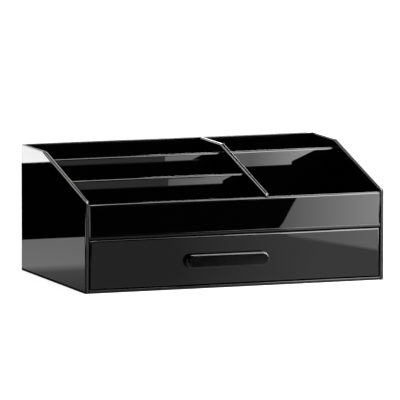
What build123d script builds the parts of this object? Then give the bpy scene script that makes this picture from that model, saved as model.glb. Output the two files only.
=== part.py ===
from build123d import *
import os

# A countertop organizer with one drawer, made of bonded black sheets with polished edges.
# All sizes are in millimetres. +X is to the right seen from the front, +Y goes to the back and
# +Z is up. The origin is the middle of the underside of the case.

# Outline of the case
CASE_WIDTH = 300.0
CASE_DEPTH = 184.0
CASE_HEIGHT = 121.4  # height of the level top at the back
FRONT_HEIGHT = 87.0  # height of the side panels' upright front edge
TOP_LENGTH = 63.0  # length of the level top, from the back to where the slope starts

# Sheet thicknesses
SIDE_T = 4.0
BACK_T = 4.0
FRONT_T = 4.0  # upper front panel and drawer front
DIVIDER_T = 4.0
FLOOR_T = 3.0  # base and shelf
BOX_T = 3.0  # sides, back and bottom of the drawer's box

# Heights and places inside the case
DRAWER_BAY_HEIGHT = 48.1  # clear height between base and shelf
UPPER_FRONT_HEIGHT = 30.1  # above the shelf
FRONT_DIVIDER_HEIGHT = 45.9  # above the shelf
REAR_DIVIDER_HEIGHT = 59.5  # above the shelf
LEFT_BAY_WIDTH = 175.7  # clear width from the left side panel to the centre divider
FRONT_BAY_DEPTH = 54.5  # clear depth from the upper front panel to the front divider
MIDDLE_BAY_DEPTH = 56.5  # clear depth from the front divider to the rear dividers

# Rounding of the sheets
OUTLINE_R = 2.0  # corners of the sloped outline
EDGE_R = 1.4  # edges of side panels and centre divider, and the upper front's inner edge
FRONT_EDGE_R = 2.0  # edges around the faces of upper front panel and drawer front
DIVIDER_EDGE_R = 1.9  # top edges of the cross dividers
FLOOR_EDGE_R = 0.6  # front edges of base and shelf
BOX_EDGE_R = 1.2  # top edges of the drawer's box
BACK_EDGE_R = 0.5  # top edges of the back panel

# Drawer
FRONT_GAP = 0.8  # above and below the drawer front
SIDE_GAP = 0.6  # between the drawer and each side panel
RUN_GAP = 0.3  # between the drawer's bottom and the base
REAR_GAP = 0.5  # between the drawer's back and the back panel
BOX_HEIGHT = 41.0  # of the drawer's box, from the underside of its bottom

# Pull
PULL_LENGTH = 83.7
PULL_HEIGHT = 13.6
PULL_REACH = 7.2  # how far it stands out from the drawer front
PULL_EDGE_R = 2.0
PULL_SHIFT = -9.3  # its middle, measured from the middle of the drawer
PULL_DROP = 0.6  # its middle below the middle of the drawer front

# Planes that several sheets share
FRONT_Y = -CASE_DEPTH / 2
BACK_INNER_Y = CASE_DEPTH / 2 - BACK_T
FRONT_INNER_Y = FRONT_Y + FRONT_T
INNER_X = CASE_WIDTH / 2 - SIDE_T
SHELF_BOTTOM_Z = FLOOR_T + DRAWER_BAY_HEIGHT
SHELF_TOP_Z = SHELF_BOTTOM_Z + FLOOR_T
UPPER_FRONT_TOP_Z = SHELF_TOP_Z + UPPER_FRONT_HEIGHT
CENTRE_LEFT_X = -INNER_X + LEFT_BAY_WIDTH
CENTRE_RIGHT_X = CENTRE_LEFT_X + DIVIDER_T
FRONT_DIVIDER_Y = FRONT_INNER_Y + FRONT_BAY_DEPTH
REAR_DIVIDER_Y = FRONT_DIVIDER_Y + DIVIDER_T + MIDDLE_BAY_DEPTH
SLOPE_END_Y = CASE_DEPTH / 2 - TOP_LENGTH
DRAWER_X = INNER_X - SIDE_GAP
DRAWER_BOTTOM_Z = FLOOR_T + RUN_GAP
DRAWER_BACK_Y = BACK_INNER_Y - REAR_GAP
DRAWER_FRONT_BOTTOM_Z = FLOOR_T + FRONT_GAP
DRAWER_FRONT_TOP_Z = SHELF_BOTTOM_Z - FRONT_GAP

CLOSE = 0.001  # how near an edge lies to the place it is looked for


def sheet(x_range, y_range, z_range):
    """A flat sheet between two values on each axis."""
    low = Vector(x_range[0], y_range[0], z_range[0])
    high = Vector(x_range[1], y_range[1], z_range[1])
    middle = (low + high) / 2
    size = high - low
    return Pos(middle) * Box(size.X, size.Y, size.Z)


def edges_at(part, along, y=None, z=None):
    """Straight edges along one axis that lie at a given Y, a given Z, or both."""
    found = part.edges().filter_by(along)
    if y is not None:
        found = found.filter_by_position(Axis.Y, y - CLOSE, y + CLOSE)
    if z is not None:
        found = found.filter_by_position(Axis.Z, z - CLOSE, z + CLOSE)
    return found


def outline(points, rounded, left_x, thickness):
    """A sheet that stands in the YZ plane, with some corners of its outline rounded."""
    face = make_face(Polyline(*points, close=True))
    corners = [face.vertices().sort_by_distance(Vector(*place))[0] for place in rounded]
    face = fillet(corners, OUTLINE_R)
    return extrude(Plane.YZ.offset(left_x) * face, thickness)


def side_panel(left_x):
    """Side panel: upright front, slope and level top, with every edge of both faces rounded."""
    front_top = (FRONT_Y, FRONT_HEIGHT)
    slope_top = (SLOPE_END_Y, CASE_HEIGHT)
    back_top = (CASE_DEPTH / 2, CASE_HEIGHT)
    points = [(FRONT_Y, 0), (CASE_DEPTH / 2, 0), back_top, slope_top, front_top]
    panel = outline(points, [front_top, slope_top, back_top], left_x, SIDE_T)
    return fillet(panel.faces().filter_by(Axis.X).edges(), EDGE_R)


def centre_divider():
    """Divider with the side panels' slope, notched to sit on and behind the upper front panel."""
    front_top = (FRONT_Y, FRONT_HEIGHT)
    slope_top = (SLOPE_END_Y, CASE_HEIGHT)
    points = [
        (FRONT_INNER_Y, SHELF_TOP_Z),
        (BACK_INNER_Y, SHELF_TOP_Z),
        (BACK_INNER_Y, CASE_HEIGHT),
        slope_top,
        front_top,
        (FRONT_Y, UPPER_FRONT_TOP_Z),
        (FRONT_INNER_Y, UPPER_FRONT_TOP_Z),
    ]
    panel = outline(points, [front_top, slope_top], CENTRE_LEFT_X, DIVIDER_T)
    rims = panel.faces().filter_by(Axis.X).edges()
    above_front = rims.filter_by_position(Axis.Z, UPPER_FRONT_TOP_Z + CLOSE, CASE_HEIGHT + CLOSE)
    open_rims = above_front.filter_by_position(Axis.Y, FRONT_Y - CLOSE, BACK_INNER_Y - CLOSE)
    return fillet(open_rims, EDGE_R)


def back_panel():
    """Back panel between the side panels, standing on the base."""
    back_y = CASE_DEPTH / 2
    panel = sheet((-INNER_X, INNER_X), (BACK_INNER_Y, back_y), (FLOOR_T, CASE_HEIGHT))
    return fillet(edges_at(panel, Axis.X, z=CASE_HEIGHT), BACK_EDGE_R)


def base_panel():
    """Base between the side panels, under the drawer and the back panel."""
    panel = sheet((-INNER_X, INNER_X), (FRONT_Y, CASE_DEPTH / 2), (0, FLOOR_T))
    return fillet(edges_at(panel, Axis.X, y=FRONT_Y), FLOOR_EDGE_R)


def shelf_panel():
    """Shelf between the side panels, from the front plane to the back panel."""
    panel = sheet((-INNER_X, INNER_X), (FRONT_Y, BACK_INNER_Y), (SHELF_BOTTOM_Z, SHELF_TOP_Z))
    return fillet(edges_at(panel, Axis.X, y=FRONT_Y), FLOOR_EDGE_R)


def upper_front_panel():
    """Low front of the compartments, bonded to the top of the shelf."""
    z_range = (SHELF_TOP_Z, UPPER_FRONT_TOP_Z)
    panel = sheet((-INNER_X, INNER_X), (FRONT_Y, FRONT_INNER_Y), z_range)
    ends = edges_at(panel, Axis.Z, y=FRONT_Y)
    top = edges_at(panel, Axis.X, y=FRONT_Y, z=UPPER_FRONT_TOP_Z)
    panel = fillet(ends + top, FRONT_EDGE_R)
    return fillet(edges_at(panel, Axis.X, y=FRONT_INNER_Y, z=UPPER_FRONT_TOP_Z), EDGE_R)


def cross_divider(x_range, front_y, height):
    """Upright sheet across a bay, bonded to the shelf, with a rounded top edge."""
    top_z = SHELF_TOP_Z + height
    panel = sheet(x_range, (front_y, front_y + DIVIDER_T), (SHELF_TOP_Z, top_z))
    return fillet(edges_at(panel, Axis.X, z=top_z), DIVIDER_EDGE_R)


def drawer_front():
    """Drawer front, rounded around its face."""
    z_range = (DRAWER_FRONT_BOTTOM_Z, DRAWER_FRONT_TOP_Z)
    panel = sheet((-DRAWER_X, DRAWER_X), (FRONT_Y, FRONT_INNER_Y), z_range)
    return fillet(panel.faces().sort_by(Axis.Y)[0].edges(), FRONT_EDGE_R)


def drawer_pull():
    """Pill-shaped bar bonded to the drawer front, rounded around its face."""
    middle_z = (DRAWER_FRONT_BOTTOM_Z + DRAWER_FRONT_TOP_Z) / 2 - PULL_DROP
    face_plane = Plane(origin=(PULL_SHIFT, FRONT_Y, middle_z), x_dir=(1, 0, 0), z_dir=(0, -1, 0))
    bar = extrude(face_plane * SlotOverall(PULL_LENGTH, PULL_HEIGHT), PULL_REACH)
    return fillet(bar.faces().sort_by(Axis.Y)[0].edges(), PULL_EDGE_R)


def drawer_bottom():
    """Bottom of the drawer's box, under its sides and back."""
    z_range = (DRAWER_BOTTOM_Z, DRAWER_BOTTOM_Z + BOX_T)
    return sheet((-DRAWER_X, DRAWER_X), (FRONT_INNER_Y, DRAWER_BACK_Y), z_range)


def drawer_side(x_range):
    """One side of the drawer's box, from the drawer front to the box's back."""
    top_z = DRAWER_BOTTOM_Z + BOX_HEIGHT
    panel = sheet(x_range, (FRONT_INNER_Y, DRAWER_BACK_Y), (DRAWER_BOTTOM_Z + BOX_T, top_z))
    return fillet(edges_at(panel, Axis.Y, z=top_z), BOX_EDGE_R)


def drawer_back():
    """Back of the drawer's box, between its sides."""
    top_z = DRAWER_BOTTOM_Z + BOX_HEIGHT
    inner_x = DRAWER_X - BOX_T
    y_range = (DRAWER_BACK_Y - BOX_T, DRAWER_BACK_Y)
    panel = sheet((-inner_x, inner_x), y_range, (DRAWER_BOTTOM_Z + BOX_T, top_z))
    return fillet(edges_at(panel, Axis.X, z=top_z), BOX_EDGE_R)


LEFT_BAY = (-INNER_X, CENTRE_LEFT_X)
RIGHT_BAY = (CENTRE_RIGHT_X, INNER_X)

NODES = {
    "base_panel": base_panel(),
    "left_side_panel": side_panel(-CASE_WIDTH / 2),
    "right_side_panel": side_panel(INNER_X),
    "back_panel": back_panel(),
    "shelf_panel": shelf_panel(),
    "upper_front_panel": upper_front_panel(),
    "centre_divider": centre_divider(),
    "left_front_divider": cross_divider(LEFT_BAY, FRONT_DIVIDER_Y, FRONT_DIVIDER_HEIGHT),
    "left_rear_divider": cross_divider(LEFT_BAY, REAR_DIVIDER_Y, REAR_DIVIDER_HEIGHT),
    "right_rear_divider": cross_divider(RIGHT_BAY, REAR_DIVIDER_Y, REAR_DIVIDER_HEIGHT),
    "drawer_front": drawer_front(),
    "drawer_pull": drawer_pull(),
    "drawer_bottom": drawer_bottom(),
    "drawer_left_side": drawer_side((-DRAWER_X, -DRAWER_X + BOX_T)),
    "drawer_right_side": drawer_side((DRAWER_X - BOX_T, DRAWER_X)),
    "drawer_back": drawer_back(),
}

os.makedirs("parts", exist_ok=True)
for name, solid in NODES.items():
    export_step(solid, f"parts/{name}.step")
    size = solid.bounding_box().size
    print(f"{name}: {size.X:.1f} x {size.Y:.1f} x {size.Z:.1f} mm, {solid.volume / 1000:.1f} cm3")
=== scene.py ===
# %% [markdown]
# # A countertop organizer with one drawer
#
# The real object is a low box of glossy black sheets, bonded edge to face. Two side panels with the
# same sloped outline hold a base, a back, a shelf and a low front. Upright sheets part the space
# above the shelf into compartments, and a drawer fills the space under it.
#
# This lesson dresses a finished CAD model. The CAD says where every piece is and how it moves.
# Blender gives each sheet its softly rounded edges in clean rows of faces, its polished finish, and
# the studio that a glossy black surface needs, because such a surface shows little more than what
# stands round it.
#
# We start with the imported model. Its box is kept.

# %% Load the CAD model
import math

import bmesh
import bpy
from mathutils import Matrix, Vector


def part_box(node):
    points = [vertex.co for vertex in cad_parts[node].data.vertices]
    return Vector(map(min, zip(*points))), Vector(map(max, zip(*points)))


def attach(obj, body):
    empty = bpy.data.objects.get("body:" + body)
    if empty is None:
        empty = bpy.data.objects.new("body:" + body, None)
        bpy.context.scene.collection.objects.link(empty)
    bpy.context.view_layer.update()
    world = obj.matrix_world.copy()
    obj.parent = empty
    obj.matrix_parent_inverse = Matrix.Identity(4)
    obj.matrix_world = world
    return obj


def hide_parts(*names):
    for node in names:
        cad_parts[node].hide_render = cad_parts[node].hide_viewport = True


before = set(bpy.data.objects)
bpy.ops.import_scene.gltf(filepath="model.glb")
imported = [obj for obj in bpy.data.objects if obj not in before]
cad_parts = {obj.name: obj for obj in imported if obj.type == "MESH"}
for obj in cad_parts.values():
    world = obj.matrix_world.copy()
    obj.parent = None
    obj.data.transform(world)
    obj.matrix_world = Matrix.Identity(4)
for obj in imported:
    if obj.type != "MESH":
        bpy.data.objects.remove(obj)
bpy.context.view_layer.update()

MM = 0.001

# %% [markdown]
# ## The camera
#
# The photograph was taken from far away with a long lens: the edges that run back hardly come
# together. The camera's place was found by fitting the corners of the case. A long lens is a large
# focal length on a normal sensor, and the camera then stands about eight metres away.

# %% Set up the camera
PHOTO_SIDE = 400  # pixels
FOCAL_PIXELS = 8450
SENSOR_WIDTH = 36  # mm
CAMERA_PLACE = Vector((-2749.1, -7494.0, 1061.8)) * MM
CAMERA_TURN = math.radians(-20.1325)
CAMERA_DIP = math.radians(7.0693)
SIGHT_END = 100  # metres, past the end of the floor

camera_data = bpy.data.cameras.new("camera")
camera_data.sensor_width = SENSOR_WIDTH
camera_data.lens = FOCAL_PIXELS / PHOTO_SIDE * SENSOR_WIDTH
camera_data.clip_end = SIGHT_END
camera = bpy.data.objects.new("camera", camera_data)
camera.location = CAMERA_PLACE
camera.rotation_euler = (math.radians(90) - CAMERA_DIP, 0, CAMERA_TURN)
bpy.context.scene.collection.objects.link(camera)
bpy.context.scene.camera = camera
print(f"lens {camera_data.lens:.0f} mm, {CAMERA_PLACE.length:.1f} m from the object")

# %% [markdown]
# ## Polished black sheet
#
# Black acrylic sheet swallows nearly all the light that enters it. What is seen is the clear
# reflection on its surface: about 4% of what stands straight in front, and far more at a glancing
# angle. The Principled shader does this by itself once its IOR is that of acrylic, 1.49.
#
# A sheet is never perfect. Its reflections bend a little, a cloth leaves fine wipe marks, and a few
# specks of dust settle. An image could show these, but it would have to be laid on every piece.
# Textures made by nodes fill the whole space instead, and each piece is cut out of them.
#
# Three helpers keep the node work short. One adds a node, one adds a noise that is drawn out along
# an axis, and one turns a range of numbers into another range. The last number pair that each of
# them takes is only where the node sits in the node editor.

# %% Helpers for nodes
def add_node(tree, kind, at, **settings):
    node = tree.nodes.new(kind)
    node.location = at
    for name, value in settings.items():
        setattr(node, name, value)
    return node


def stretched_noise(tree, place, stretch, scale, detail, at):
    """A noise texture on the given coordinates, drawn out along the axes with a small stretch."""
    mapping = add_node(tree, "ShaderNodeMapping", at)
    mapping.inputs["Scale"].default_value = stretch
    noise = add_node(tree, "ShaderNodeTexNoise", (at[0] + 200, at[1]))
    noise.inputs["Scale"].default_value = scale
    noise.inputs["Detail"].default_value = detail
    tree.links.new(place, mapping.inputs["Vector"])
    tree.links.new(mapping.outputs["Vector"], noise.inputs["Vector"])
    return noise.outputs["Fac"]


def map_range(tree, value, low, high, to_low, to_high, at):
    """Turns low into to_low, high into to_high, and what lies between them in proportion."""
    node = add_node(tree, "ShaderNodeMapRange", at)
    tree.links.new(value, node.inputs["Value"])
    ends = {"From Min": low, "From Max": high, "To Min": to_low, "To Max": to_high}
    for name, number in ends.items():
        node.inputs[name].default_value = number
    return node.outputs["Result"]


# %% [markdown]
# The wipe marks are a stretched noise that changes the roughness. The dust is a pale speck in the
# middle of each cell of a Voronoi texture. The swell is a broad, very low bump. The sawn and
# polished edges of a sheet are less clear than its faces, so the builder of the sheets below writes
# a mark on their faces, and the finish reads it.

# %% Wipe marks, dust and swell
WIPE_SCALE = 90
WIPE_DETAIL = 3
WIPE_SHOWS = (0.45, 0.75)  # of the noise: where a mark starts and where it is full
EDGE_MARK = "sawn_edge"
DUST_SCALE = 160  # cells in a metre
SPECK_SIZE = (0.03, 0.06)  # of a cell: where a speck starts to fade and where it ends
DEEP_BLACK = (0.0006, 0.0006, 0.0006, 1)
DUST_GREY = (0.006, 0.006, 0.0055, 1)
SWELL_SCALE = 14
SWELL_HEIGHT = 0.04 * MM
SWELL_STRENGTH = 0.6


def wipe_marks(tree, place, along, clear, wiped):
    """Roughness: clear between the wipe marks and wiped on them."""
    marks = stretched_noise(tree, place, along, WIPE_SCALE, WIPE_DETAIL, (-1100, 100))
    return map_range(tree, marks, *WIPE_SHOWS, clear, wiped, (-700, 100))


def edge_blur(tree, blur):
    """The roughness that a marked edge has on top of it."""
    edges = add_node(tree, "ShaderNodeAttribute", (-900, -150), attribute_name=EDGE_MARK)
    return map_range(tree, edges.outputs["Fac"], 0, 1, 0, blur, (-700, -150))


def dusty_black(tree, place):
    dust = add_node(tree, "ShaderNodeTexVoronoi", (-900, 400))
    dust.inputs["Scale"].default_value = DUST_SCALE
    tree.links.new(place, dust.inputs["Vector"])
    speck = map_range(tree, dust.outputs["Distance"], *SPECK_SIZE, 1, 0, (-700, 400))
    tone = add_node(tree, "ShaderNodeMix", (-450, 350), data_type="RGBA")
    tone.inputs["A"].default_value = DEEP_BLACK
    tone.inputs["B"].default_value = DUST_GREY
    tree.links.new(speck, tone.inputs["Factor"])
    return tone.outputs["Result"]


def gentle_swell(tree, place):
    swell = stretched_noise(tree, place, (1, 1, 1), SWELL_SCALE, 1, (-1100, -400))
    bump = add_node(tree, "ShaderNodeBump", (-450, -400))
    bump.inputs["Distance"].default_value = SWELL_HEIGHT
    bump.inputs["Strength"].default_value = SWELL_STRENGTH
    tree.links.new(swell, bump.inputs["Height"])
    return bump.outputs["Normal"]


# %% [markdown]
# The finish puts these together. The case and the drawer were wiped in slightly different ways. The
# pull is moulded, so its surface is a little softer than that of the sheets, and no edge is sawn.
# The CAD model brings plain materials of the same names, so Blender adds a number to two of ours.

# %% Make the finish
ACRYLIC_IOR = 1.49


def polished_black(name, wipe_along, clear, wiped, sawn_blur):
    """Black acrylic: clear and wiped are the roughness between and on the wipe marks."""
    material = bpy.data.materials.new(name)
    material.use_nodes = True
    tree = material.node_tree
    shader = tree.nodes["Principled BSDF"]
    shader.inputs["IOR"].default_value = ACRYLIC_IOR
    place = add_node(tree, "ShaderNodeTexCoord", (-1300, 0)).outputs["Object"]
    total = add_node(tree, "ShaderNodeMath", (-450, 0), operation="ADD")
    tree.links.new(wipe_marks(tree, place, wipe_along, clear, wiped), total.inputs[0])
    tree.links.new(edge_blur(tree, sawn_blur), total.inputs[1])
    tree.links.new(total.outputs[0], shader.inputs["Roughness"])
    tree.links.new(dusty_black(tree, place), shader.inputs["Base Color"])
    tree.links.new(gentle_swell(tree, place), shader.inputs["Normal"])
    return material


case_black = polished_black("case_black", wipe_along=(0.25, 1, 3), clear=0.01, wiped=0.028,
                            sawn_blur=0.45)
drawer_black = polished_black("drawer_black", wipe_along=(0.2, 1, 4), clear=0.01, wiped=0.03,
                              sawn_blur=0.45)
pull_black = polished_black("pull_black", wipe_along=(0.6, 1, 1.5), clear=0.09, wiped=0.13,
                            sawn_blur=0)
print("finishes:", case_black.name, drawer_black.name, pull_black.name)

# %% [markdown]
# ## A sheet with rounded edges
#
# Every piece of this object is a flat sheet whose open edges are rounded over. The mirror-like
# finish shows every facet of a rounding, so the rounding is made as even rows of narrow faces.
#
# A bevel modifier could round the edges, but it has trouble where edges with different radii meet.
# Here the sheet is made from rings instead. A ring is the outline, drawn in a little from its open
# edges. From one face to the other the rings grow along a quarter circle, stay, and shrink again.
# An edge that is bonded to another sheet stays sharp, so its rings are not drawn in.
#
# An outline is a list of corners, anticlockwise. Edge i runs from corner i to the next one. First
# come the quarter circle and the corners.

# %% Quarter circle and corners
ROUND_STEPS = 8  # faces in each quarter circle


def box_outline(low_a, low_b, high_a, high_b):
    return [(low_a, low_b), (high_a, low_b), (high_a, high_b), (low_a, high_b)]


def quarter_circle(radius):
    """(inset, depth) from the face of the sheet to where its rounded edge ends."""
    if radius == 0:
        return [(0, 0)]
    turns = [math.pi / 2 * i / ROUND_STEPS for i in range(ROUND_STEPS + 1)]
    return [(radius * (1 - math.sin(t)), radius * (1 - math.cos(t))) for t in turns]


def edge_directions(corners, i):
    """The directions of the edges before and after corner i."""
    here = Vector(corners[i])
    after = Vector(corners[(i + 1) % len(corners)])
    return (here - Vector(corners[i - 1])).normalized(), (after - here).normalized()


def moved_corner(corners, insets, i):
    """Corner i once the edges before and after it have moved inwards."""
    before, after = edge_directions(corners, i)
    turn = before.x * after.y - before.y * after.x
    slide = (after * insets[i - 1] - before * insets[i]) / turn
    return Vector(corners[i]) + slide


def corner_arc(here, before, after, radius, steps):
    """Points along the arc that takes the place of the corner."""
    bend = abs(before.angle_signed(after))
    cut = radius * math.tan(bend / 2)
    centre = here - before * cut + Vector((-before.y, before.x)) * radius
    start = math.atan2(-before.x, before.y)
    angles = [start + bend * step / steps for step in range(steps + 1)]
    return [centre + radius * Vector((math.cos(angle), math.sin(angle))) for angle in angles]


print("insets of a 2 mm rounding:", [round(inset, 2) for inset, depth in quarter_circle(2)])

# %% [markdown]
# A ring goes round the outline corner by corner. A corner stays a point, or it is eased by an arc
# of several faces, or it is nipped, which is an arc with a single face.

# %% Rings
def corner_steps(i, radii, nipped):
    """How many faces turn corner i."""
    return 0 if radii[i] == 0 else 1 if i in nipped else ROUND_STEPS


def ring_sides(radii, nipped):
    """For each side of a ring, the outline's edge that it lies on, or None in a corner."""
    sides = []
    for i in range(len(radii)):
        sides += [None] * corner_steps(i, radii, nipped) + [i]
    return sides


def ring(corners, radii, insets, nipped):
    """The outline moved inwards by an inset for each edge, with some corners as arcs."""
    points = []
    for i, radius in enumerate(radii):
        here = moved_corner(corners, insets, i)
        steps = corner_steps(i, radii, nipped)
        if steps:
            before, after = edge_directions(corners, i)
            points += corner_arc(here, before, after, radius - insets[i], steps)
        else:
            points.append(here)
    return points


def ring_levels(thickness, near_round, far_round):
    """(near inset, far inset, depth) for each ring, from the near face to the far face."""
    near = [(inset, 0, depth) for inset, depth in quarter_circle(near_round)]
    far = [(0, inset, thickness - depth) for inset, depth in quarter_circle(far_round)]
    return near + far[::-1]


print("rings of a sheet rounded on both faces:", len(ring_levels(4, 1, 1)))

# %% [markdown]
# A sheet stands in one of three ways, named by the axis that its thickness runs along. Its near
# face is the one at the left, at the front or below, and the far face is opposite to it. The CAD
# node's box gives the outline of a plain sheet and where its two faces are.

# %% How a sheet stands
AXES = {"x": (1, 2, 0), "y": (0, 2, 1), "z": (0, 1, 2)}  # two for the outline, one for the depth


def node_outline(node, through):
    """The box of a CAD node as an outline and a depth range."""
    low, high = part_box(node)
    first, second, depth = AXES[through]
    outline = box_outline(low[first], low[second], high[first], high[second])
    return outline, (low[depth], high[depth])


def stand_up(through, point, depth):
    """A point of the outline, at a depth in the sheet, as a place in the scene."""
    place = Vector((0, 0, 0))
    for axis, number in zip(AXES[through], (point.x, point.y, depth)):
        place[axis] = number
    return place


near_y, far_y = node_outline("back_panel", "y")[1]
print(f"the faces of the back panel are at y {near_y:.3f} m and {far_y:.3f} m")

# %% [markdown]
# The rings become a mesh: faces between each two rings, and one flat face at each end. Smooth
# shading with weighted normals keeps the large faces flat as a mirror while the rounding between
# them flows. The sheet's edge faces get the mark that the finish reads: a full one on an edge left
# satin from the saw, and a faint one on a polished edge.

# %% Build a sheet
POLISHED_EDGE = 0.02  # how much of a sawn edge's blur is left on a polished one
SHARP_ANGLE = math.radians(35)
LARGEST_FACE_RULES = 100  # the weighted normals' weight


def join_rings(bm, mark, rings, levels, sides, sawn):
    """Makes the faces between each two rings and marks them."""
    for step, (low, high) in enumerate(zip(rings, rings[1:])):
        between_roundings = levels[step][0] == 0 and levels[step + 1][1] == 0
        for i, side in enumerate(sides):
            j = (i + 1) % len(sides)
            face = bm.faces.new((low[i], low[j], high[j], high[i]))
            face[mark] = 1 if between_roundings and side in sawn else POLISHED_EDGE


def build_sheet(name, through, outline, depth_range, near_edges, far_edges, near_round, far_round,
                radii=None, nipped=(), sawn=()):
    """near_edges and far_edges say how much of the rounding each edge has on that face, 0 to 1.
    nipped are the corners cut straight, and sawn the edges left satin from the saw."""
    start, end = depth_range
    radii = radii or [0] * len(outline)
    levels = ring_levels(end - start, near_round, far_round)
    bm = bmesh.new()
    mark = bm.faces.layers.float.new(EDGE_MARK)
    rings = []
    for near_inset, far_inset, depth in levels:
        insets = [near_inset * n + far_inset * f for n, f in zip(near_edges, far_edges)]
        flat = ring(outline, radii, insets, nipped)
        rings.append([bm.verts.new(stand_up(through, point, start + depth)) for point in flat])
    join_rings(bm, mark, rings, levels, ring_sides(radii, nipped), sawn)
    bm.faces.new(rings[0])
    bm.faces.new(rings[-1])
    bmesh.ops.recalc_face_normals(bm, faces=bm.faces)
    mesh = bpy.data.meshes.new(name)
    bm.to_mesh(mesh)
    bm.free()
    mesh.shade_smooth()
    mesh.set_sharp_from_angle(angle=SHARP_ANGLE)
    piece = bpy.data.objects.new(name, mesh)
    bpy.context.scene.collection.objects.link(piece)
    weighted = piece.modifiers.new("flat faces", "WEIGHTED_NORMAL")
    weighted.keep_sharp = True
    weighted.weight = LARGEST_FACE_RULES
    return piece


# %% [markdown]
# ## Standing in for the CAD
#
# Each finished sheet takes the place of one CAD solid. The solid stays in the physics model, and
# the sheet is what is seen. It rides on the body that the solid belongs to, the case or the drawer,
# so that it moves with it, and it is told which of the model's two finishes it has.

# %% Place a piece
def place_piece(piece, node, body, finish):
    """Gives the piece its finish and lets it stand for its CAD node, on the node's body."""
    piece.data.materials.append(finish)
    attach(piece, body)
    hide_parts(node)
    size = piece.dimensions / MM
    print(f"{piece.name}: {size.x:.1f} x {size.y:.1f} x {size.z:.1f} mm, "
          f"{len(piece.data.polygons)} faces")


# %% [markdown]
# ## The side panels
#
# Both side panels have the same outline, cut from 4 mm sheet: upright at the front, a slope, and a
# level top at the back. Their corners are eased, and the edges at the front, slope and top are
# rounded on both faces. That is what draws the two fine bright lines along the slope in the
# photograph. The edge at the back is rounded only a little, and the one they stand on is square.
# Where the slope meets the upright front the corner is nipped off. The edges at the bottom, back
# and front keep the satin of the saw, and only the top and the slope are polished.
#
# The outline is written once as five corners. The CAD node gives where the panel stands, and two
# more sizes, the height at the front and the length of the level top, give the slope.

# %% Side panels
FRONT_HEIGHT = 87 * MM
TOP_LENGTH = 63 * MM
CORNER_ROUND = 2 * MM  # eased corners of the sloped outline
EDGE_ROUND = 1.4 * MM
BOTTOM, BACK, TOP, SLOPE, FRONT = range(5)  # the edges, each with the corner that it starts from
OPEN_EDGES = [0, 0.2, 1, 1, 1]  # how much of the rounding each of them has

side_low, side_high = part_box("left_side_panel")
front_y, back_y, case_top = side_low.y, side_high.y, side_high.z
slope = [(back_y - TOP_LENGTH, case_top), (front_y, FRONT_HEIGHT)]
side_outline = [(front_y, 0), (back_y, 0), (back_y, case_top)] + slope
side_corners = [0, 0, CORNER_ROUND, CORNER_ROUND, CORNER_ROUND]

for side in ("left", "right"):
    low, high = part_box(f"{side}_side_panel")
    sheet = build_sheet(f"{side}_side_sheet", "x", side_outline, (low.x, high.x),
                        OPEN_EDGES, OPEN_EDGES, EDGE_ROUND, EDGE_ROUND, side_corners,
                        nipped=[FRONT], sawn=[BOTTOM, BACK, FRONT])
    place_piece(sheet, f"{side}_side_panel", "case", case_black)

# %% [markdown]
# ## Base and shelf
#
# The base is the sheet that the drawer runs on, and the shelf is the floor of the compartments.
# Both are 3 mm thick and lie between the side panels. Only their front edges are open, so only
# those are rounded. Seen from above, the edges of a lying sheet are front, right, back and left.

# %% Base and shelf
FLOOR_ROUND = 0.6 * MM
FRONT_ONLY = [1, 0, 0, 0]

for name in ("base", "shelf"):
    outline, depth_range = node_outline(f"{name}_panel", "z")
    sheet = build_sheet(f"{name}_sheet", "z", outline, depth_range,
                        FRONT_ONLY, FRONT_ONLY, FLOOR_ROUND, FLOOR_ROUND)
    place_piece(sheet, f"{name}_panel", "case", case_black)

# %% [markdown]
# ## Back panel and cross dividers
#
# These sheets stand across the case, and only their top edges are open. The back panel is as high
# as the level top of the side panels, and its top is nearly square. The dividers are lower and
# almost fully rounded on top. The edges of a standing sheet are bottom, right, top and left.

# %% Back panel and cross dividers
BACK_ROUND = 0.5 * MM
DIVIDER_ROUND = 1.9 * MM
TOP_ONLY = [0, 0, 1, 0]

cross_sheets = {
    "back_panel": ("back_sheet", BACK_ROUND),
    "left_front_divider": ("left_front_divider_sheet", DIVIDER_ROUND),
    "left_rear_divider": ("left_rear_divider_sheet", DIVIDER_ROUND),
    "right_rear_divider": ("right_rear_divider_sheet", DIVIDER_ROUND),
}
for node, (name, rounding) in cross_sheets.items():
    outline, depth_range = node_outline(node, "y")
    sheet = build_sheet(name, "y", outline, depth_range, TOP_ONLY, TOP_ONLY, rounding, rounding)
    place_piece(sheet, node, "case", case_black)

# %% [markdown]
# ## Upper front
#
# The low sheet in front of the compartments is rounded more broadly, 2 mm deep, round its face, and
# its right edge is drawn in less than the others, as the narrow dark line there shows. Its bottom
# is bonded to the shelf and stays sharp. On the inside only the top edge is rounded, less.

# %% Upper front
FACE_ROUND = 2 * MM
RIGHT_SHARE = 0.6  # of the rounding, on the right edge of both fronts

outline, depth_range = node_outline("upper_front_panel", "y")
upper_front = build_sheet("upper_front_sheet", "y", outline, depth_range,
                          [0, RIGHT_SHARE, 1, 1], TOP_ONLY, FACE_ROUND, EDGE_ROUND)
place_piece(upper_front, "upper_front_panel", "case", case_black)

# %% [markdown]
# ## Centre divider
#
# This divider has the same slope as the side panels. Its nose rests on the upper front and ends
# flush with it, so its outline has a small step there. Bottom, back and step are bonded.

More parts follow.
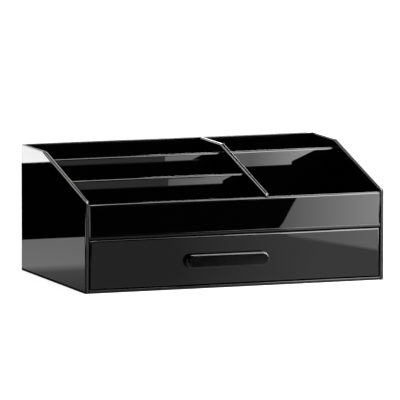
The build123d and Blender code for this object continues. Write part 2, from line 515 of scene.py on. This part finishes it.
# %% Centre divider
low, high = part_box("centre_divider")
upper_front_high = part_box("upper_front_panel")[1]
step_y, step_top = upper_front_high.y, upper_front_high.z
divider_outline = [(step_y, low.z), (high.y, low.z), (high.y, case_top)] + slope + [
    (front_y, step_top), (step_y, step_top)]
divider_corners = [0, 0, 0, CORNER_ROUND, CORNER_ROUND, 0, 0]
divider_edges = [0, 0, 1, 1, 1, 0, 0]
centre_divider = build_sheet("centre_divider_sheet", "x", divider_outline, (low.x, high.x),
                             divider_edges, divider_edges, EDGE_ROUND, EDGE_ROUND,
                             divider_corners, nipped=[FRONT])
place_piece(centre_divider, "centre_divider", "case", case_black)

# %% [markdown]
# ## The drawer's front and box
#
# The drawer front is a sheet as thick as the case's front, rounded 2 mm round its face. Behind it
# is a box of thinner sheets. The photograph doesn't show the box, because the drawer is shut, so
# it is kept plain: sides and back with their top edges eased, on a flat bottom.

# %% Drawer front and box
BOX_ROUND = 1.2 * MM
NO_EDGES = [0, 0, 0, 0]

outline, depth_range = node_outline("drawer_front", "y")
drawer_front = build_sheet("drawer_front_sheet", "y", outline, depth_range,
                           [1, RIGHT_SHARE, 1, 1], NO_EDGES, FACE_ROUND, 0)
place_piece(drawer_front, "drawer_front", "drawer", drawer_black)

box_walls = {"drawer_left_side": ("drawer_left_sheet", "x"),
             "drawer_right_side": ("drawer_right_sheet", "x"),
             "drawer_back": ("drawer_back_sheet", "y")}
for node, (name, through) in box_walls.items():
    outline, depth_range = node_outline(node, through)
    sheet = build_sheet(name, through, outline, depth_range,
                        TOP_ONLY, TOP_ONLY, BOX_ROUND, BOX_ROUND)
    place_piece(sheet, node, "drawer", drawer_black)

outline, depth_range = node_outline("drawer_bottom", "z")
sheet = build_sheet("drawer_bottom_sheet", "z", outline, depth_range, NO_EDGES, NO_EDGES, 0, 0)
place_piece(sheet, "drawer_bottom", "drawer", drawer_black)

# %% [markdown]
# ## The pull
#
# The pull is a pill-shaped bar bonded to the drawer front, left of its middle and a little low. Its
# outline is a box with all four corners rounded by half its height. Its face leans back by a few
# degrees, which is why it doesn't mirror the pale table as the drawer front does. The lean is made
# after the bar is built, by moving each point back the more, the higher and the nearer to the face.

# %% Pull
PULL_ROUND = 2 * MM
PULL_LEAN = math.radians(3.6)
PULL_FLAT = 0.02 * MM  # left straight at each end, so that the outline has no edge of length zero
FOUR_EDGES = [1, 1, 1, 1]

low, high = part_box("drawer_pull")
outline, depth_range = node_outline("drawer_pull", "y")
end_round = (high.z - low.z - PULL_FLAT) / 2
pull = build_sheet("drawer_pull_bar", "y", outline, depth_range,
                   FOUR_EDGES, NO_EDGES, PULL_ROUND, 0, [end_round] * 4)
for vertex in pull.data.vertices:
    nearness = (high.y - vertex.co.y) / (high.y - low.y)
    vertex.co.y += nearness * (vertex.co.z - low.z) * math.tan(PULL_LEAN)
place_piece(pull, "drawer_pull", "drawer", pull_black)

# %% [markdown]
# ## The table and the white background
#
# In the picture the background is pure white. The table is a real white surface, lit by the lamp,
# so it takes the object's shadow. Brighter lamps could make it pure white, but they would light the
# object too. So it is lifted to white only where the camera or a reflection looks at it, by asking
# the Light Path node what kind of ray arrives.

# %% White that is lifted
WHITE_PAINT = 0.8


def background_rays(tree, at):
    """1 for a ray from the camera and for one that is mirrored or passed on, else 0."""
    path = add_node(tree, "ShaderNodeLightPath", at)
    either = add_node(tree, "ShaderNodeMath", (at[0] + 200, at[1]), operation="MAXIMUM")
    total = add_node(tree, "ShaderNodeMath", (at[0] + 400, at[1]), operation="MAXIMUM")
    tree.links.new(path.outputs["Is Camera Ray"], either.inputs[0])
    tree.links.new(path.outputs["Is Glossy Ray"], either.inputs[1])
    tree.links.new(either.outputs[0], total.inputs[0])
    tree.links.new(path.outputs["Is Transmission Ray"], total.inputs[1])
    return total.outputs[0]


def lifted_white(name, lift):
    """White paint that glows by lift for the background's rays."""
    material = bpy.data.materials.new(name)
    material.use_nodes = True
    tree = material.node_tree
    shader = tree.nodes["Principled BSDF"]
    shader.inputs["Base Color"].default_value = (WHITE_PAINT, WHITE_PAINT, WHITE_PAINT, 1)
    shader.inputs["Roughness"].default_value = 1
    shader.inputs["Specular IOR Level"].default_value = 0
    shader.inputs["Emission Color"].default_value = (1, 1, 1, 1)
    glow = map_range(tree, background_rays(tree, (-900, -200)), 0, 1, 0, lift, (-250, -200))
    tree.links.new(glow, shader.inputs["Emission Strength"])
    return material


# %% [markdown]
# The table is wide enough to hold the shadow and to be mirrored in front of the object. A wide
# floor just below it carries the white on behind it. Both are stage, and no part of the object.

# %% Table and floor
TABLE_HALF = 1.9
FLOOR_HALF = 14
FLOOR_DROP = 2 * MM
TABLE_LIFT, FLOOR_LIFT = 0.85, 0.9


def level_corners(x_range, y_range, height):
    outline = box_outline(x_range[0], y_range[0], x_range[1], y_range[1])
    return [(x, y, height) for x, y in outline]


def flat_card(name, corners):
    mesh = bpy.data.meshes.new(name)
    mesh.from_pydata([Vector(c) for c in corners], [], [tuple(range(len(corners)))])
    card = bpy.data.objects.new(name, mesh)
    bpy.context.scene.collection.objects.link(card)
    return card


def square(half, height):
    return level_corners((-half, half), (-half, half), height)


table = flat_card("table", square(TABLE_HALF, 0))
table.data.materials.append(lifted_white("table_white", TABLE_LIFT))
floor = flat_card("floor", square(FLOOR_HALF, -FLOOR_DROP))
floor.data.materials.append(lifted_white("floor_white", FLOOR_LIFT))
print("table", 2 * TABLE_HALF, "m wide, floor", 2 * FLOOR_HALF, "m wide")

# %% [markdown]
# ## Cards
#
# A photographer lights a glossy black object by what it mirrors. White and grey cards round it make
# the bright parts of its surface, and black ones keep the rest black. A card here glows evenly or
# from one side to the other, is seen only in reflections, and neither lights nor shades anything.
# The black mirrors only a few hundredths of what stands in front of it, so a card that shows as a
# middle grey glows several times as bright as white. Each glow was found by comparing a render with
# the photograph.

# %% A card that glows
def glow_card(name, corners, across, start, end, start_at=0, end_at=1):
    """across runs from 0 to 1 over the card. The glow goes from start to end between the two places
    start_at and end_at of it."""
    card = flat_card(name, corners)
    uv = card.data.uv_layers.new(name="across")
    for loop, share in zip(uv.data, across):
        loop.uv = (share, 0)
    material = bpy.data.materials.new(name)
    material.use_nodes = True
    tree = material.node_tree
    tree.nodes.clear()
    output = add_node(tree, "ShaderNodeOutputMaterial", (400, 0))
    emission = add_node(tree, "ShaderNodeEmission", (200, 0))
    place = add_node(tree, "ShaderNodeUVMap", (-400, 0), uv_map="across")
    split = add_node(tree, "ShaderNodeSeparateXYZ", (-200, 0))
    tree.links.new(place.outputs["UV"], split.inputs[0])
    strength = map_range(tree, split.outputs["X"], start_at, end_at, start, end, (0, 0))
    tree.links.new(strength, emission.inputs["Strength"])
    tree.links.new(emission.outputs[0], output.inputs["Surface"])
    card.data.materials.append(material)
    card.visible_camera = False
    card.visible_diffuse = False
    card.visible_shadow = False
    card.visible_transmission = False
    return card


def even_card(name, corners, strength):
    return glow_card(name, corners, [0] * len(corners), strength, strength)


# %% [markdown]
# The front of the object mirrors the table in front of it. So the cards for it lie flat on the
# table. A card could be pushed about until its reflection is right, but it is easier to say where
# on the front it should show, and to follow the mirrored line of sight down to the table.

# %% Where the front looks
CARD_LIFT = 0.4 * MM  # above the table
UPPER_LIFT = 0.6 * MM  # for a card that lies over another


def seen_in_front(across, height, lift):
    """Where the line of sight that the front plane mirrors at this place meets the table."""
    start = Vector((across * MM, front_y, height * MM))
    sight = (start - CAMERA_PLACE).normalized()
    mirrored = Vector((sight.x, -sight.y, sight.z))
    return start + mirrored * ((lift - start.z) / mirrored.z)


def front_card(name, spots, start, end, start_across=None, end_across=None, lift=CARD_LIFT):
    """A card lying flat, given by the spots of the front plane, in mm, where the camera sees it.
    The glow goes from start to end between two places across the front."""
    left = min(across for across, height in spots)
    width = max(across for across, height in spots) - left
    shares = [(across - left) / width for across, height in spots]
    ends = [0 if start_across is None else (start_across - left) / width,
            1 if end_across is None else (end_across - left) / width]
    corners = [seen_in_front(across, height, lift) for across, height in spots]
    return glow_card(name, corners, shares, start, end, *ends)


foot = seen_in_front(0, 0, CARD_LIFT)
top = seen_in_front(0, FRONT_HEIGHT / MM, CARD_LIFT)
print(f"the front mirrors the table from y {foot.y:.2f} m to y {top.y:.2f} m")

# %% [markdown]
# The near cards show on the drawer: its left part is darker, and a bright field with a soft border
# shows at its upper right. Then comes black for the upper front, with the side card that makes the
# slanted bright field at its right. The far cards show above the upper front, on the dividers.

# %% Cards that the front mirrors
SHELF_AT = 54  # up the front, mm
FRONT_TOP_AT = 84

front_card("near_card", box_outline(-400, 0.6, 500, SHELF_AT), 0.42, 1.02, -70, 75)
front_card("soft_border_card", [(52, 45.8), (147, 27.3), (147, 29), (52, 47.5)],
           1.35, 1.9, lift=UPPER_LIFT)
front_card("bright_near_card", [(52, 47.5), (147, 29), (147, SHELF_AT), (52, SHELF_AT)],
           1.9, 3.0, lift=UPPER_LIFT)
front_card("black_front_card", box_outline(-1200, SHELF_AT, 900, FRONT_TOP_AT), 0, 0)
front_card("side_card", [(44, SHELF_AT), (230, SHELF_AT), (230, FRONT_TOP_AT), (62, FRONT_TOP_AT),
                         (48.5, 59.5)], 2.07, 8.5, lift=UPPER_LIFT)
front_card("far_grey_card", box_outline(-200, FRONT_TOP_AT, 900, 110), 0.6, 0.6)
front_card("far_black_card", box_outline(-1200, FRONT_TOP_AT, -200, 112), 0, 0)
front_card("far_card", box_outline(-28, FRONT_TOP_AT, 62, 92.5), 2.33, 5.1, lift=UPPER_LIFT)
front_card("far_rear_card", box_outline(8, 92.5, 62, 108), 3.5, 3.5, lift=UPPER_LIFT)
front_card("far_right_card", box_outline(62, FRONT_TOP_AT, 260, 108), 2.67, 7.6, 97, 163,
           lift=UPPER_LIFT)

# %% [markdown]
# The left side panel mirrors the table to its left, a dark gap behind the table, and then the
# bright backdrop. Close to the panel the table cards glow dimly, with a soft edge: a painted shadow
# of the case on the table. Its foot mirrors the black strip close beside it, a painted contact
# shadow. The level tops mirror the backdrop's right part, and the slopes what is above it: black
# behind the left panel and the centre divider, white behind the right panel. The rounded edges
# along a slope mirror the high card at the left and the tall cards at the right, and these are the
# two fine lines. A black flag keeps the high card off the right panel. All places are in metres
# from the middle of the object's foot.

# %% Cards at the left and the back
BACKDROP_Y = 0.906
BACKDROP_TOP = 1.6
BESIDE_CASE = -0.1505
LEFT_X = (-0.31, BESIDE_CASE)
# The near part at the left is a painted shadow of the case on the table, and the border below is
# its soft edge.
SHADOW_EDGE_Y = (0.067, 0.117)  # the soft border between the near and the far part at the left
GAP_Y = 0.303  # where the table ends and the dark gap starts
LEVEL_TOPS_SEE = (0.2252, 0.26)  # up the backdrop


def floor_card(name, x_range, y_range, start, end):
    """A card on the table whose glow goes from start to end along Y."""
    return glow_card(name, level_corners(x_range, y_range, CARD_LIFT), (0, 0, 1, 1), start, end)


def upright_corners(x_range, z_range, y):
    outline = box_outline(x_range[0], z_range[0], x_range[1], z_range[1])
    return [(x, y, z) for x, z in outline]


def back_card(name, x_range, z_range, start, end):
    """An upright card at the back whose glow goes from start to end along X."""
    corners = upright_corners(x_range, z_range, BACKDROP_Y)
    return glow_card(name, corners, (0, 1, 1, 0), start, end)


# The dim near card and the border card are the painted shadow of the case on the table, with its
# soft edge.
floor_card("left_shadow_card", LEFT_X, (-0.25, SHADOW_EDGE_Y[0]), 0.03, 0.32)
floor_card("left_shadow_edge_card", LEFT_X, SHADOW_EDGE_Y, 0.33, 0.82)
floor_card("left_far_card", LEFT_X, (SHADOW_EDGE_Y[1], GAP_Y), 0.82, 0.76)
# A black strip right beside the left panel's foot: a painted contact shadow that the foot mirrors.
even_card("foot_shadow_card", level_corners((-0.1535, -0.1499), (-0.1, 0.1), 2 * CARD_LIFT), 0)
floor_card("front_left_card", (-0.75, -0.45), (-0.44, -0.28), 8.0, 8.0)
floor_card("black_gap_card", (-2.0, 2.0), (GAP_Y, BACKDROP_Y), 0, 0)
even_card("black_left_card", level_corners((-2.0, BESIDE_CASE), (-0.6, GAP_Y), CARD_LIFT / 2), 0)
back_card("left_backdrop", (-0.485, -0.1), (0, 0.14), 4.7, 4.7)
back_card("left_middle_card", (-0.56, -0.1), (0.14, 0.5), 4.7, 1.8)
back_card("left_high_card", (-0.43, -0.14), (0.95, 1.22), 11.5, 11.5)
back_card("low_backdrop", (-0.1, 0.25), LEVEL_TOPS_SEE, 0.45, 1.5)
back_card("middle_backdrop", (0.25, 0.452), LEVEL_TOPS_SEE, 4.2, 4.2)
back_card("right_backdrop", (0.452, 1.4), (0, 0.26), 5.0, 5.0)
back_card("right_middle_card", (0.28, 0.68), (0.26, 0.48), 6.0, 6.0)
back_card("right_low_card", (0.28, 0.452), (0.08, 0.218), 4.5, 4.5)
back_card("right_side_card", (0.68, 1.4), (0.26, 0.76), 6.0, 6.0)
back_card("right_high_card", (0.56, 1.4), (0.76, BACKDROP_TOP), 6.0, 6.0)
even_card("black_flag", upright_corners((-0.015, 0.12), (0.3, 0.5), 0.25), 0)
even_card("black_back_card", upright_corners((-2.5, 1.4), (0, BACKDROP_TOP), BACKDROP_Y + 0.01), 0)
print("backdrop", BACKDROP_Y, "m behind the middle,", BACKDROP_TOP, "m high")

# %% [markdown]
# Above and in front it is black, but for a long narrow light overhead, three small bright ones and
# a large soft box at the front right, one half of it overhead and the other on the front wall. The
# narrow light draws the fine line on each rounded top edge, and the small ones the glint on the
# nipped corner of each sloped sheet. The soft box makes the wide bright lines at the right.

# %% Black tent with lights
TENT_HALF = 2.5
CEILING = 1.6
FRONT_WALL_Y = -1.0
LIGHTS_HEIGHT = 0.9
STRIP_Y = (-0.4, -0.08)
GLINT_HALF = 0.016


def overhead_card(name, x_range, y_range, height, strength):
    return even_card(name, level_corners(x_range, y_range, height), strength)


even_card("black_ceiling", square(TENT_HALF, CEILING), 0)
even_card("black_wall", upright_corners((-TENT_HALF, TENT_HALF), (0, CEILING), FRONT_WALL_Y), 0)
overhead_card("light_strip", (-0.1, 0.31), STRIP_Y, LIGHTS_HEIGHT, 11.5)
overhead_card("dim_strip", (0.31, 0.455), STRIP_Y, LIGHTS_HEIGHT, 8)
for middle in (0.16, 0.34, 0.46):
    overhead_card(f"glint_card_{middle}", (middle - GLINT_HALF, middle + GLINT_HALF),
                  (-0.48, -0.4), LIGHTS_HEIGHT - 0.01, 30)
overhead_card("soft_box", (0.455, 1.4), (-0.98, 0.3), LIGHTS_HEIGHT, 7.8)
even_card("soft_box_front", upright_corners((0.4, 1.4), (0.16, 1.05), FRONT_WALL_Y + 0.02), 16)
print("lights", LIGHTS_HEIGHT, "m up, ceiling", CEILING, "m up")

# %% [markdown]
# ## Lamp and world
#
# The soft lamp stands at the front right and lights the table. It isn't seen in reflections, where
# the cards take its place. The world gives the rest of the soft light. Where the camera or a
# reflection looks past everything, the world is white.

# %% Lamp and world
LAMP_PLACE = Vector((0.72, -0.8, 0.55))
LAMP_AIM = Vector((0.72, -0.09, 0.1))
LAMP_SIZE = (0.8, 0.7)
LAMP_POWER = 20  # watts
WORLD_LIGHT = 0.3

light = bpy.data.lights.new("front_lamp", "AREA")
light.shape = "RECTANGLE"
light.size, light.size_y = LAMP_SIZE
light.energy = LAMP_POWER
lamp = bpy.data.objects.new("front_lamp", light)
lamp.location = LAMP_PLACE
lamp.rotation_euler = (LAMP_AIM - LAMP_PLACE).to_track_quat("-Z", "Y").to_euler()
lamp.visible_glossy = False
bpy.context.scene.collection.objects.link(lamp)

world = bpy.data.worlds.new("studio")
bpy.context.scene.world = world
world.use_nodes = True
tree = world.node_tree
tree.nodes.clear()
output = add_node(tree, "ShaderNodeOutputWorld", (600, 0))
shade = add_node(tree, "ShaderNodeBackground", (350, 0))
shade.inputs["Color"].default_value = (1, 1, 1, 1)
strength = map_range(tree, background_rays(tree, (-600, 0)), 0, 1, WORLD_LIGHT, 1, (100, 0))
tree.links.new(strength, shade.inputs["Strength"])
tree.links.new(shade.outputs[0], output.inputs["Surface"])
bpy.context.scene.view_settings.view_transform = "Standard"
print("lamp", LAMP_POWER, "W, world", WORLD_LIGHT)
